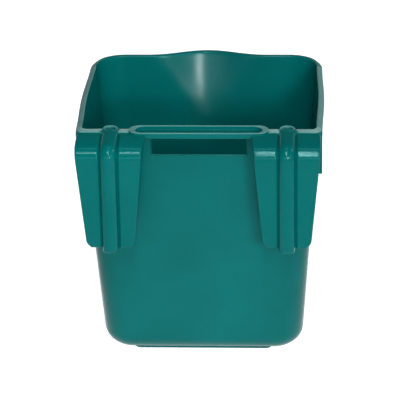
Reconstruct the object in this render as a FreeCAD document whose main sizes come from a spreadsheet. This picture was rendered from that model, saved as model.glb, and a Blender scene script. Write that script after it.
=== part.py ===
import FreeCAD, Part
import math
import os

import Sketcher

# Hook-over feed bucket, moulded in one piece.
# +Z up, hooks towards -Y, pouring spout towards +Y.
# The origin is under the middle of the whole object, on the plane it stands on.

V = FreeCAD.Vector
doc = FreeCAD.newDocument("FeedBucket")

# ---------------------------------------------------------------- driving sizes, mm

SIZES = {
    # tub, measured on its outer faces
    "total_height": 331.0,
    "half_width": 151.0,
    "floor_narrowing": 23.5,
    "tub_depth": 259.0,
    "rear_draft": 17.0,
    "front_draft": 28.0,
    "wall": 3.0,
    "rear_corner_top": 10.0,
    "front_corner_top": 45.0,
    "corner_low": 38.0,
    "bottom_round": 25.0,
    # rim
    "rim_overhang": 5.0,
    "rim_plate": 3.0,
    "skirt_drop": 12.0,
    "skirt_wall": 2.5,
    # pouring spout
    "spout_radius": 63.0,
    "spout_reach": 18.0,
    "spout_length": 92.0,
    "spout_tip": 4.0,
    "spout_half_width": 50.0,
    # foot
    "foot_rise": 3.5,
    "foot_half_width": 87.5,
    "foot_inset": 19.0,
    "foot_corner": 8.0,
    # hand slot and grip
    "slot_half_width": 60.0,
    "slot_drop": 35.5,
    "slot_corner": 3.0,
    "grip_half_length": 89.0,
    "grip_outward": 13.0,
    "grip_inward": 14.5,
    "grip_drop": 8.0,
    "grip_wall": 3.0,
    "grip_end_wall": 9.0,
    "grip_floor": 2.5,
    # hooks
    "hook_middle": 111.7,
    "hook_reach": 48.0,
    "hook_drop": 18.5,
    "hook_bend": 10.5,
    "hook_half_top": 41.2,
    "hook_half_low": 30.3,
    "hook_length": 143.0,
    "hook_plate": 3.0,
    "hook_corner": 10.0,
    # ribs over the hooks
    "rib_radius": 10.25,
    "rib_rise": 8.0,
    "rib_step": 1.0,
    "rib_bend": 10.0,
    "rib_length": 151.5,
    "boss_drop": 22.0,
    # webs under the rear corners of the rim
    "gusset_drop": 61.0,
    "gusset_depth": 6.0,
    "gusset_half_start": 138.0,
}

sheet = doc.addObject("Spreadsheet::Sheet", "Sizes")
for row, (alias, number) in enumerate(SIZES.items(), start=1):
    sheet.set(f"A{row}", alias)
    sheet.set(f"B{row}", str(number))
    sheet.setAlias(f"B{row}", alias)
doc.recompute()

# Places that several pieces share, as expressions over the sheet.
REAR = "(Sizes.hook_reach + Sizes.rib_rise - Sizes.tub_depth - Sizes.rim_overhang - Sizes.spout_reach) / 2"
FRONT = f"({REAR} + Sizes.tub_depth)"
REAR = f"({REAR})"
TOP = "Sizes.total_height"
RIM_UNDER = "(Sizes.total_height - Sizes.rim_plate)"
SKIRT_UNDER = "(Sizes.total_height - Sizes.skirt_drop)"
GRIP_UNDER = "(Sizes.total_height - Sizes.grip_drop)"
WALL_FOOT = "(Sizes.foot_rise + Sizes.bottom_round + Sizes.wall)"
REAR_CUT = f"({REAR} + Sizes.rear_draft + Sizes.corner_low)"
FRONT_CUT = f"({FRONT} - Sizes.front_draft - Sizes.corner_low)"
CORNER_CUT = f"({REAR} + Sizes.rear_corner_top)"
SPOUT_LOW = "(Sizes.total_height - Sizes.spout_length)"
WIDE = "(2 * Sizes.half_width)"


# ---------------------------------------------------------------- helpers

def bind(item, **settings):
    """Bind properties to expressions; a double underscore in a name stands for a dot."""
    for path, expression in settings.items():
        item.setExpression(path.replace("__", "."), expression)


def make_body(name, x="0", y="0", z="0"):
    body = doc.addObject("PartDesign::Body", name)
    bind(body, Placement__Base__x=x, Placement__Base__y=y, Placement__Base__z=z)
    return body


def make_sketch(body, name, role, offset="0"):
    """A sketch on one of the body's own origin planes, moved along the plane's normal."""
    sketch = body.newObject("Sketcher::SketchObject", name)
    plane = next(item for item in body.Origin.OriginFeatures if item.Role == role)
    sketch.AttachmentSupport = (plane, [""])
    sketch.MapMode = "FlatFace"
    bind(sketch, AttachmentOffset__Base__z=offset)
    return sketch


def line(x0, y0, x1, y1):
    return Part.LineSegment(V(x0, y0, 0), V(x1, y1, 0))


def arc(x, y, radius, start, end):
    """An arc about (x, y), counter-clockwise from start to end in degrees."""
    circle = Part.Circle(V(x, y, 0), V(0, 0, 1), radius)
    return Part.ArcOfCircle(circle, math.radians(start), math.radians(end))


def join(sketch, kind, first, first_end, second, second_end):
    sketch.addConstraint(Sketcher.Constraint(kind, first, first_end, second, second_end))


def fix(sketch, name, expression, *constraint):
    """Add a sized constraint and bind it to an expression."""
    index = sketch.addConstraint(Sketcher.Constraint(*constraint))
    sketch.renameConstraint(index, name)
    bind(sketch, **{f"Constraints__{name}": expression})


def edges_where(shape, test):
    return [f"Edge{i}" for i, edge in enumerate(shape.Edges, start=1) if test(edge)]


def pad(body, sketch, name, length, reverse=False, midplane=False):
    feature = body.newObject("PartDesign::Pad", name)
    feature.Profile = sketch
    feature.Reversed = reverse
    feature.Midplane = midplane
    bind(feature, Length=length)
    doc.recompute()
    return feature


def round_edges(body, base, name, radius, test):
    """Fillet the edges of the body's last feature that pass a test."""
    feature = body.newObject("PartDesign::Fillet", name)
    feature.Base = (base, edges_where(base.Shape, test))
    bind(feature, Radius=radius)
    doc.recompute()
    return feature


def box(name, x0, x1, y0, y1, z0, z1):
    """A Part::Box between two corners, each coordinate an expression."""
    item = doc.addObject("Part::Box", name)
    bind(item, Length=f"{x1} - ({x0})", Width=f"{y1} - ({y0})", Height=f"{z1} - ({z0})",
         Placement__Base__x=x0, Placement__Base__y=y0, Placement__Base__z=z0)
    return item


def cut(name, base, tool):
    item = doc.addObject("Part::Cut", name)
    item.Base = base
    item.Tool = tool
    return item


def common(name, base, tool):
    item = doc.addObject("Part::Common", name)
    item.Base = base
    item.Tool = tool
    return item


def fuse(name, *pieces):
    item = doc.addObject("Part::MultiFuse", name)
    item.Shapes = list(pieces)
    return item


# ---------------------------------------------------------------- tub

def rounded_section(body, name, height, half_width, rear, front, rear_round, front_round):
    """A level outline with four rounded corners, symmetric about the Y axis, counter-clockwise."""
    sketch = make_sketch(body, name, "XY_Plane", height)
    # a rough outline, which the constraints then size
    wide, deep, corner = 140.0, 110.0, 30.0
    reach, depth = wide - corner, deep - corner
    sketch.addGeometry([
        line(-reach, -deep, reach, -deep),
        arc(reach, -depth, corner, 270, 360),
        line(wide, -depth, wide, depth),
        arc(reach, depth, corner, 0, 90),
        line(reach, deep, -reach, deep),
        arc(-reach, depth, corner, 90, 180),
        line(-wide, depth, -wide, -depth),
        arc(-reach, -depth, corner, 180, 270),
    ], False)
    for side in range(8):
        join(sketch, "Tangent", side, 2, (side + 1) % 8, 1)
    rear_side, front_side, y_axis, origin = 0, 4, -2, (-1, 1)
    for side in (rear_side, front_side):
        sketch.addConstraint(Sketcher.Constraint("Symmetric", side, 1, side, 2, y_axis))
    sketch.addConstraint(Sketcher.Constraint("Equal", 1, 7))
    sketch.addConstraint(Sketcher.Constraint("Equal", 3, 5))
    fix(sketch, "rear_round", rear_round, "Radius", 1, corner)
    fix(sketch, "front_round", front_round, "Radius", 3, corner)
    sketch.addConstraint(Sketcher.Constraint("Vertical", 2))
    fix(sketch, "half_width", half_width, "DistanceX", *origin, 2, 1, wide)
    fix(sketch, "rear_place", rear, "DistanceY", *origin, rear_side, 1, -deep)
    fix(sketch, "front_place", front, "DistanceY", *origin, front_side, 1, deep)
    return sketch


def tub_block(name, inset):
    """The tub as a solid, drawn in by an inset: the outer skin, or the hollow inside it."""
    body = make_body(name)
    floor = f"(Sizes.foot_rise + {inset})"
    low = rounded_section(
        body, f"{name}_low", floor,
        f"Sizes.half_width - Sizes.floor_narrowing - {inset}",
        f"{REAR} + Sizes.rear_draft + {inset}", f"{FRONT} - Sizes.front_draft - {inset}",
        f"Sizes.corner_low - {inset}", f"Sizes.corner_low - {inset}")
    high = rounded_section(
        body, f"{name}_high", TOP,
        f"Sizes.half_width - {inset}",
        f"{REAR} + {inset}", f"{FRONT} - {inset}",
        f"Sizes.rear_corner_top - {inset}", f"Sizes.front_corner_top - {inset}")
    loft = body.newObject("PartDesign::AdditiveLoft", f"{name}_sides")
    loft.Profile = high
    loft.Sections = [low]
    loft.Ruled = True
    doc.recompute()
    lowest = loft.Shape.BoundBox.ZMin + 0.01
    round_edges(body, loft, f"{name}_bottom", f"Sizes.bottom_round - {inset}",
                lambda edge: edge.BoundBox.ZMax < lowest)
    return body


def flute_block(name, inset):
    """The oblique cone that the pouring spout follows, drawn in by an inset."""
    rings = []
    low_face = f"({FRONT} - Sizes.front_draft * Sizes.spout_length / (Sizes.total_height - Sizes.foot_rise))"
    sunk = "0.5"
    places = (
        ("low", f"Sizes.spout_tip - {inset}", f"{low_face} - Sizes.spout_tip - {sunk}", SPOUT_LOW),
        ("high", f"Sizes.spout_radius - {inset}", f"{FRONT} + Sizes.spout_reach - Sizes.spout_radius", TOP),
    )
    for end, radius, y, z in places:
        ring = doc.addObject("Part::Circle", f"{name}_{end}")
        bind(ring, Radius=radius, Placement__Base__y=y, Placement__Base__z=z)
        rings.append(ring)
    loft = doc.addObject("Part::Loft", name)
    loft.Sections = rings
    loft.Solid = True
    loft.Ruled = True
    return loft


tub_skin = fuse("tub_skin", tub_block("tub_outside", "0"), flute_block("flute_outside", "0"))
tub_hollow = fuse("tub_hollow", tub_block("tub_inside", "Sizes.wall"), flute_block("flute_inside", "Sizes.wall"))
tub_shell = cut("tub_shell", tub_skin, tub_hollow)


def part_of_shell(name, x0, x1, y0, y1, z0=WALL_FOOT, z1=RIM_UNDER):
    return common(name, tub_shell, box(f"{name}_reach", x0, x1, y0, y1, z0, z1))


BACK_OF_ALL = f"({REAR} - Sizes.tub_depth)"
FRONT_OF_ALL = f"({FRONT} + Sizes.tub_depth)"

tub_floor = part_of_shell("tub_floor", f"-{WIDE}", WIDE, BACK_OF_ALL, FRONT_OF_ALL, "0", WALL_FOOT)
left_wall = part_of_shell("left_wall", f"-{WIDE}", "0", REAR_CUT, FRONT_CUT)
right_wall = part_of_shell("right_wall", "0", WIDE, REAR_CUT, FRONT_CUT)

SPOUT_BACK = f"({FRONT} - 2 * Sizes.spout_reach)"
pouring_spout = part_of_shell("pouring_spout", "-Sizes.spout_half_width", "Sizes.spout_half_width",
                              SPOUT_BACK, FRONT_OF_ALL, SPOUT_LOW, RIM_UNDER)
front_wall = cut("front_wall",
                 part_of_shell("front_shell", f"-{WIDE}", WIDE, FRONT_CUT, FRONT_OF_ALL),
                 box("spout_room", "-Sizes.spout_half_width", "Sizes.spout_half_width",
                     SPOUT_BACK, FRONT_OF_ALL, SPOUT_LOW, TOP))


# ---------------------------------------------------------------- foot

def make_foot():
    body = make_body("base_foot")
    sketch = rounded_section(
        body, "foot_outline", "0", "Sizes.foot_half_width",
        f"{REAR} + Sizes.rear_draft + Sizes.foot_inset", f"{FRONT} - Sizes.front_draft - Sizes.foot_inset",
        "Sizes.foot_corner", "Sizes.foot_corner")
    pad(body, sketch, "foot_pad", "Sizes.foot_rise")
    return body


base_foot = make_foot()


# ---------------------------------------------------------------- grip over the hand slot

def grip_block(name, half_length, outward, inward, low, high):
    """A long oval with round ends, standing between two levels."""
    body = make_body(name, y=REAR)
    sketch = make_sketch(body, f"{name}_outline", "XY_Plane", low)
    length, radius = 75.0, 13.0
    sketch.addGeometry([
        line(-length, -radius, length, -radius),
        arc(length, 0, radius, 270, 450),
        line(length, radius, -length, radius),
        arc(-length, 0, radius, 90, 270),
    ], False)
    for side in range(4):
        join(sketch, "Tangent", side, 2, (side + 1) % 4, 1)
    sketch.addConstraint(Sketcher.Constraint("Symmetric", 0, 1, 0, 2, -2))
    sketch.addConstraint(Sketcher.Constraint("Horizontal", 2))
    half_depth = f"({outward} + {inward}) / 2"
    fix(sketch, "outward", f"-({outward})", "DistanceY", -1, 1, 0, 1, -radius)
    fix(sketch, "inward", inward, "DistanceY", -1, 1, 2, 1, radius)
    fix(sketch, "straight", f"2 * ({half_length} - {half_depth})", "DistanceX", 0, 1, 0, 2, 2 * length)
    pad(body, sketch, f"{name}_pad", f"{high} - {low}")
    return body


grip_solid = grip_block("grip_solid", "Sizes.grip_half_length", "Sizes.grip_outward", "Sizes.grip_inward",
                        GRIP_UNDER, TOP)
grip_recess = grip_block("grip_recess", "(Sizes.grip_half_length - Sizes.grip_end_wall)",
                         "(Sizes.grip_outward - Sizes.grip_wall)", "(Sizes.grip_inward - Sizes.grip_wall)",
                         f"({GRIP_UNDER} + Sizes.grip_floor)", f"({TOP} + Sizes.grip_floor)")
grip_channel = cut("grip_channel", grip_solid, grip_recess)


def make_slot():
    """The hand slot's space, right through the rear wall."""
    body = make_body("hand_slot", y=REAR, z=TOP)
    sketch = make_sketch(body, "slot_outline", "XZ_Plane")
    wide, high, low = 60.0, -8.0, -35.0
    sketch.addGeometry([
        line(-wide, low, wide, low),
        line(wide, low, wide, high),
        line(wide, high, -wide, high),
        line(-wide, high, -wide, low),
    ], False)
    for side in range(4):
        join(sketch, "Coincident", side, 2, (side + 1) % 4, 1)
    for side in (0, 2):
        sketch.addConstraint(Sketcher.Constraint("Symmetric", side, 1, side, 2, -2))
    fix(sketch, "width", "2 * Sizes.slot_half_width", "DistanceX", 0, 1, 0, 2, 2 * wide)
    fix(sketch, "top_width", "2 * Sizes.slot_half_width", "DistanceX", 2, 2, 2, 1, 2 * wide)
    fix(sketch, "lower_edge", "-Sizes.slot_drop", "DistanceY", -1, 1, 0, 1, low)
    fix(sketch, "upper_edge", "-Sizes.grip_drop", "DistanceY", -1, 1, 2, 1, high)
    block = pad(body, sketch, "slot_pad", "4 * Sizes.grip_outward", midplane=True)
    round_edges(body, block, "slot_corners", "Sizes.slot_corner",
                lambda edge: edge.BoundBox.YLength > edge.BoundBox.XLength + edge.BoundBox.ZLength)
    return body


rear_shell = part_of_shell("rear_shell", f"-{WIDE}", WIDE, BACK_OF_ALL, REAR_CUT)
rear_wall = cut("rear_wall", cut("rear_shell_slotted", rear_shell, make_slot()), grip_solid)


# ---------------------------------------------------------------- rim

def rim_block(name, overhang, low, high):
    """The rim's outline, an overhang outside the tub, between two levels."""
    body = make_body(f"{name}_plate")
    sketch = rounded_section(
        body, f"{name}_outline", low,
        f"Sizes.half_width + {overhang}",
        f"{REAR} - {overhang}", f"{FRONT} + {overhang}",
        "Sizes.rear_corner_top / 2", f"Sizes.front_corner_top + {overhang}")
    pad(body, sketch, f"{name}_pad", f"{high} - {low}")
    disc = doc.addObject("Part::Cylinder", f"{name}_disc")
    bind(disc, Radius=f"Sizes.spout_radius + {overhang}", Height=f"{high} - {low}",
         Placement__Base__y=f"{FRONT} + Sizes.spout_reach - Sizes.spout_radius", Placement__Base__z=low)
    return fuse(name, body, disc)


rim_solid = rim_block("rim_solid", "Sizes.rim_overhang", SKIRT_UNDER, TOP)
skirt_room = rim_block("skirt_room", "(Sizes.rim_overhang - Sizes.skirt_wall)", SKIRT_UNDER, RIM_UNDER)
rim_ring = cut("rim_ring", cut("rim_skirted", rim_solid, skirt_room), tub_hollow)


def part_of_rim(name, x0, x1, y0, y1, z0=SKIRT_UNDER):
    return common(name, rim_ring, box(f"{name}_reach", x0, x1, y0, y1, z0, TOP))


front_rim = part_of_rim("front_rim", f"-{WIDE}", WIDE, FRONT_CUT, FRONT_OF_ALL)
left_rim = part_of_rim("left_rim", f"-{WIDE}", "0", CORNER_CUT, FRONT_CUT)
right_rim = part_of_rim("right_rim", "0", WIDE, CORNER_CUT, FRONT_CUT)
left_rear_rim = cut("left_rear_rim",
                    part_of_rim("left_rear_band", f"-{WIDE}", "0", BACK_OF_ALL, CORNER_CUT, RIM_UNDER), grip_solid)
right_rear_rim = cut("right_rear_rim",
                     part_of_rim("right_rear_band", "0", WIDE, BACK_OF_ALL, CORNER_CUT, RIM_UNDER), grip_solid)


def make_gusset(name, x0, x1):
    """The web that fills the corner between the tub and the rim's overhang."""
    web = box(f"{name}_web", x0, x1, REAR, f"({REAR} + Sizes.gusset_depth)",
              "(Sizes.total_height - Sizes.gusset_drop)", RIM_UNDER)
    return cut(name, web, tub_skin)


RIM_HALF = "(Sizes.half_width + Sizes.rim_overhang)"
left_corner_gusset = make_gusset("left_corner_gusset", f"-{RIM_HALF}", "(-Sizes.gusset_half_start)")
right_corner_gusset = make_gusset("right_corner_gusset", "Sizes.gusset_half_start", RIM_HALF)


# ---------------------------------------------------------------- hooks

def hook_arch(sketch):
    """The line of a hook's outer face in side view: a long flat arc, then the bend."""
    start, reach, drop, bend, crown = -5.0, -48.0, -18.5, 10.5, 80.0
    turn = 66.0
    sketch.addGeometry([
        arc(start, -crown, crown, 90, 90 + 90 - turn),
        arc(reach + bend, drop, bend, 180 - turn, 180),
    ], False)
    crown_arc, bend_arc = 0, 1
    join(sketch, "Tangent", crown_arc, 2, bend_arc, 1)
    sketch.addConstraint(Sketcher.Constraint("Vertical", crown_arc, 1, crown_arc, 3))
    sketch.addConstraint(Sketcher.Constraint("Horizontal", bend_arc, 2, bend_arc, 3))
    sketch.addConstraint(Sketcher.Constraint("PointOnObject", crown_arc, 1, -1))
    fix(sketch, "start", "-Sizes.rim_overhang", "DistanceX", -1, 1, crown_arc, 1, start)
    fix(sketch, "reach", "-Sizes.hook_reach", "DistanceX", -1, 1, bend_arc, 2, reach)
    fix(sketch, "drop", "-Sizes.hook_drop", "DistanceY", -1, 1, bend_arc, 2, drop)
    fix(sketch, "bend", "Sizes.hook_bend", "Radius", bend_arc, bend)


def make_bridge(name, x):
    body = make_body(name, x, REAR, TOP)
    path = make_sketch(body, f"{name}_path", "YZ_Plane")
    hook_arch(path)
    profile = make_sketch(body, f"{name}_section", "XZ_Plane", "Sizes.rim_overhang")
    wide, thick = 41.0, 3.0
    profile.addGeometry([
        line(-wide, -thick, wide, -thick),
        line(wide, -thick, wide, 0),
        line(wide, 0, -wide, 0),
        line(-wide, 0, -wide, -thick),
    ], False)
    for side in range(4):
        join(profile, "Coincident", side, 2, (side + 1) % 4, 1)
    for side in (0, 2):
        profile.addConstraint(Sketcher.Constraint("Symmetric", side, 1, side, 2, -2))
    profile.addConstraint(Sketcher.Constraint("PointOnObject", 2, 1, -1))
    fix(profile, "width", "2 * Sizes.hook_half_top", "DistanceX", 0, 1, 0, 2, 2 * wide)
    fix(profile, "top_width", "2 * Sizes.hook_half_top", "DistanceX", 2, 2, 2, 1, 2 * wide)
    fix(profile, "thickness", "-Sizes.hook_plate", "DistanceY", -1, 1, 0, 1, -thick)
    doc.recompute()
    pipe = body.newObject("PartDesign::AdditivePipe", f"{name}_plate")
    pipe.Profile = profile
    pipe.Spine = (path, ["Edge1", "Edge2"])
    doc.recompute()
    return body


def make_tongue(name, x):
    body = make_body(name, x, REAR, TOP)
    sketch = make_sketch(body, f"{name}_outline", "XZ_Plane", "Sizes.hook_reach - Sizes.hook_plate")
    wide, narrow, high, low = 41.0, 30.0, -18.5, -143.0
    sketch.addGeometry([
        line(-narrow, low, narrow, low),
        line(narrow, low, wide, high),
        line(wide, high, -wide, high),
        line(-wide, high, -narrow, low),
    ], False)
    for side in range(4):
        join(sketch, "Coincident", side, 2, (side + 1) % 4, 1)
    for side in (0, 2):
        sketch.addConstraint(Sketcher.Constraint("Symmetric", side, 1, side, 2, -2))
    fix(sketch, "low_width", "2 * Sizes.hook_half_low", "DistanceX", 0, 1, 0, 2, 2 * narrow)
    fix(sketch, "top_width", "2 * Sizes.hook_half_top", "DistanceX", 2, 2, 2, 1, 2 * wide)
    fix(sketch, "low_edge", "-Sizes.hook_length", "DistanceY", -1, 1, 0, 1, low)
    fix(sketch, "top_edge", "-Sizes.hook_drop", "DistanceY", -1, 1, 2, 1, high)
    plate = pad(body, sketch, f"{name}_plate", "Sizes.hook_plate")
    lowest = plate.Shape.BoundBox.ZMin + 0.01
    round_edges(body, plate, f"{name}_corners", "Sizes.hook_corner",
                lambda edge: edge.BoundBox.ZMax < lowest and edge.BoundBox.XLength < 0.01)
    return body


def hook_core(name, x):
    """All the space under a hook's outer face, which a rib's back is trimmed to."""
    body = make_body(name, x, REAR, TOP)
    sketch = make_sketch(body, f"{name}_outline", "YZ_Plane")
    hook_arch(sketch)
    inward, reach, drop, low = 3.0, -48.0, -18.5, -170.0
    sketch.addGeometry([
        line(reach, drop, reach, low),
        line(reach, low, inward, low),
        line(inward, low, inward, 0),
        line(inward, 0, -5.0, 0),
    ], False)
    crown_arc, bend_arc, back, base, front, cap = range(6)
    join(sketch, "Tangent", bend_arc, 2, back, 1)
    join(sketch, "Coincident", back, 2, base, 1)
    join(sketch, "Coincident", base, 2, front, 1)
    join(sketch, "Coincident", front, 2, cap, 1)
    join(sketch, "Coincident", cap, 2, crown_arc, 1)
    sketch.addConstraint(Sketcher.Constraint("Vertical", front))
    sketch.addConstraint(Sketcher.Constraint("Horizontal", base))
    sketch.addConstraint(Sketcher.Constraint("Horizontal", cap))
    fix(sketch, "inward", "Sizes.wall", "DistanceX", -1, 1, front, 2, inward)
    fix(sketch, "low", "-(Sizes.rib_length + Sizes.hook_bend)", "DistanceY", -1, 1, base, 1, low)
    pad(body, sketch, f"{name}_block", "3 * Sizes.rib_radius", midplane=True)
    return body


def make_rib(name, x):
    """A half-round rib: its crown leaves the rim level, bends over the hook and runs down it."""
    body = make_body(f"{name}_bar", x, REAR, TOP)
    centre = "(Sizes.rib_step - Sizes.rib_radius)"
    away = "(Sizes.hook_reach + Sizes.rib_rise - Sizes.rib_radius)"
    path = make_sketch(body, f"{name}_path", "YZ_Plane")
    start, level, back, bend, low = 3.0, -9.25, -45.75, 10.0, -151.5
    path.addGeometry([
        line(start, level, back + bend, level),
        arc(back + bend, level - bend, bend, 90, 180),
        line(back, level - bend, back, low),
    ], False)
    join(path, "Tangent", 0, 2, 1, 1)
    join(path, "Tangent", 1, 2, 2, 1)
    path.addConstraint(Sketcher.Constraint("Horizontal", 0))
    path.addConstraint(Sketcher.Constraint("Vertical", 2))
    fix(path, "start", "Sizes.wall", "DistanceX", -1, 1, 0, 1, start)
    fix(path, "level", centre, "DistanceY", -1, 1, 0, 1, level)
    fix(path, "bend", "Sizes.rib_bend", "Radius", 1, bend)
    fix(path, "back", f"-{away}", "DistanceX", -1, 1, 2, 2, back)
    fix(path, "low", "-Sizes.rib_length", "DistanceY", -1, 1, 2, 2, low)
    profile = make_sketch(body, f"{name}_section", "XZ_Plane", "-Sizes.wall")
    radius = 10.0
    profile.addGeometry([line(-radius, level, radius, level), arc(0, level, radius, 0, 180)], False)
    join(profile, "Coincident", 0, 2, 1, 1)
    join(profile, "Coincident", 0, 1, 1, 2)
    profile.addConstraint(Sketcher.Constraint("PointOnObject", 1, 3, -2))
    profile.addConstraint(Sketcher.Constraint("PointOnObject", 1, 3, 0))
    profile.addConstraint(Sketcher.Constraint("Horizontal", 0))
    fix(profile, "radius", "Sizes.rib_radius", "Radius", 1, radius)
    fix(profile, "centre", centre, "DistanceY", -1, 1, 1, 3, level)
    doc.recompute()
    pipe = body.newObject("PartDesign::AdditivePipe", f"{name}_pipe")
    pipe.Profile = profile
    pipe.Spine = (path, ["Edge1", "Edge2", "Edge3"])
    doc.recompute()
    return cut(name, body, hook_core(f"{name}_core", x))


def make_boss(name, x):
    """The half-round boss inside the rear wall that carries a rib's upper end."""
    body = make_body(name, x, REAR, TOP)
    sketch = make_sketch(body, f"{name}_outline", "XY_Plane", "-Sizes.boss_drop")
    edge, radius = 3.0, 10.0
    sketch.addGeometry([line(radius, edge, -radius, edge), arc(0, edge, radius, 0, 180)], False)
    join(sketch, "Coincident", 0, 1, 1, 1)
    join(sketch, "Coincident", 0, 2, 1, 2)
    sketch.addConstraint(Sketcher.Constraint("PointOnObject", 1, 3, -2))
    sketch.addConstraint(Sketcher.Constraint("PointOnObject", 1, 3, 0))
    sketch.addConstraint(Sketcher.Constraint("Horizontal", 0))
    fix(sketch, "radius", "Sizes.rib_radius", "Radius", 1, radius)
    fix(sketch, "edge", "Sizes.wall", "DistanceY", -1, 1, 1, 3, edge)
    pad(body, sketch, f"{name}_pad", "Sizes.boss_drop + Sizes.rib_step")
    return cut(f"{name}_trimmed", body, tub_shell)


nodes = [tub_floor, base_foot, front_wall, pouring_spout, rear_wall, left_wall, right_wall,
         front_rim, left_rim, right_rim, left_rear_rim, right_rear_rim, grip_channel,
         left_corner_gusset, right_corner_gusset]

for side, sign in (("left", "-"), ("right", "")):
    middle = f"{sign}Sizes.hook_middle"
    bridge = make_bridge(f"{side}_hook_arch", middle)
    nodes.append(cut(f"{side}_hook_bridge", bridge, grip_solid))
    nodes.append(make_tongue(f"{side}_hook_tongue", middle))
    nodes.append(make_rib(f"{side}_hook_rib", middle))
    boss = make_boss(f"{side}_boss_block", middle)
    nodes.append(cut(f"{side}_rib_boss", boss, rim_ring))

for node in nodes:
    node.Label = node.Name

doc.recompute()

# ---------------------------------------------------------------- checks and files

for item in doc.Objects:
    faults = [state for state in item.State if state in ("Invalid", "Error")]
    if faults:
        raise RuntimeError(f"{item.Name} did not compute: {faults}")

os.makedirs("parts", exist_ok=True)
for node in nodes:
    if node.Shape.isNull() or not node.Shape.isValid() or not node.Shape.Solids:
        raise RuntimeError(f"{node.Name} has no valid solid")
    node.Shape.exportStep(f"parts/{node.Label}.step")
    size = node.Shape.BoundBox
    print(f"{node.Label}: {len(node.Shape.Solids)} solid, {node.Shape.Volume:.0f} mm3, "
          f"X {size.XMin:.1f}..{size.XMax:.1f} Y {size.YMin:.1f}..{size.YMax:.1f} Z {size.ZMin:.1f}..{size.ZMax:.1f}")
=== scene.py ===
import math

import bpy
import numpy as np
from mathutils import Matrix, Vector


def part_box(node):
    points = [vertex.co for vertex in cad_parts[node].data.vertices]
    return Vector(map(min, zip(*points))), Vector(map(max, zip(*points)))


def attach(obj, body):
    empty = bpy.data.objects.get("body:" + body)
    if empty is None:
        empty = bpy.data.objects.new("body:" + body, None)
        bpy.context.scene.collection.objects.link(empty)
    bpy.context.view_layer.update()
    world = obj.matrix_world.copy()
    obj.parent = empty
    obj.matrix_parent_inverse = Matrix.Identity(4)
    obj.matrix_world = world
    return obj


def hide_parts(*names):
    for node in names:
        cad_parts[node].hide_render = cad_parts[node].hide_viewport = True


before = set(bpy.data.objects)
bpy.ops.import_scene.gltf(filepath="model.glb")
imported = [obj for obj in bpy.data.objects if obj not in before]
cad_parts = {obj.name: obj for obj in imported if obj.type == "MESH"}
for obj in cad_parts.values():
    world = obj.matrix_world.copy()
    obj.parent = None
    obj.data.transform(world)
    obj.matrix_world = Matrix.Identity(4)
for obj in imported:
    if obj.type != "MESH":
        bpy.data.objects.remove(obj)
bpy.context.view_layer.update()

# Looks of the hook-over feed bucket. Shapes are worked out in millimetres and scaled to metres
# when a mesh is made. +Z up, hooks towards -Y, pouring spout towards +Y.

MM = 0.001


def span(node):
    """Lowest and highest corner of a CAD node, in millimetres."""
    lo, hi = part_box(node)
    return [c / MM for c in lo], [c / MM for c in hi]


# ---------------------------------------------------------------- sizes taken from the frame

RIM_HI = span("front_rim")[1]
TONGUE_LO, TONGUE_HI = span("right_hook_tongue")
RIB_LO, RIB_HI = span("right_hook_rib")

# the tub: HALF, REAR and FRONT are its outer faces at the rim, and its corners go from LOW_CORNER
# at the floor to REAR_CORNER or FRONT_CORNER at the rim
TOP = RIM_HI[2]
OVERHANG = 5.0
WALL = 3.0
HALF = RIM_HI[0] - OVERHANG + 0.5
REAR = span("left_rear_rim")[0][1] + OVERHANG
FRONT = RIM_HI[1] - OVERHANG - 16.0
FLOOR = span("base_foot")[1][2]
NARROWING = HALF - span("tub_floor")[1][0] - 0.6
REAR_DRAFT = 17.0
FRONT_DRAFT = 28.0
BOTTOM_ROUND = 25.0
LOW_CORNER, REAR_CORNER, FRONT_CORNER = 38.0, 10.0, 40.0
TIGHTEST_CORNER = 1.2
SIDE_BOW = 2.4
SIDE_START = REAR + REAR_CORNER
SIDE_END = FRONT - FRONT_CORNER

# the spout: its half width at its foot and at the rim, and the half width of the piece itself
SPOUT_REACH = 17.5
SPOUT_LOW = span("pouring_spout")[0][2] + 4.0
SPOUT_HALF = (14.0, 86.0)
SPOUT_PIECE = 66.0

# the hand slot and the grip over it
GRIP_LOW = span("grip_channel")[0][2]
SLOT_HALF = 60.0
SLOT_LOW = TOP - 35.5
BULL = WALL / 2

# the hooks and their ribs
HOOK_MIDDLE = (TONGUE_LO[0] + TONGUE_HI[0]) / 2
HOOK_BACK = TONGUE_LO[1]
HOOK_LOW = TONGUE_LO[2]
HOOK_HALF = (TONGUE_HI[0] - TONGUE_LO[0]) / 2
HOOK_HALF_LOW = 30.3
HOOK_CORNER = 10.0
PLATE = 3.0
GROOVE = 2.3
RIB_HALF = (RIB_HI[0] - RIB_LO[0]) / 2
RIB_RISE = 8.0
RIB_END = 2.2
RIB_FOOT = RIB_LO[2] + 4.0


def smooth(a, b, x):
    """0 before a, 1 after b and a soft step between them."""
    t = min(1.0, max(0.0, (x - a) / (b - a)))
    return t * t * (3.0 - 2.0 * t)


def mix(a, b, t):
    return a + (b - a) * t


# ---------------------------------------------------------------- meshes

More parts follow.
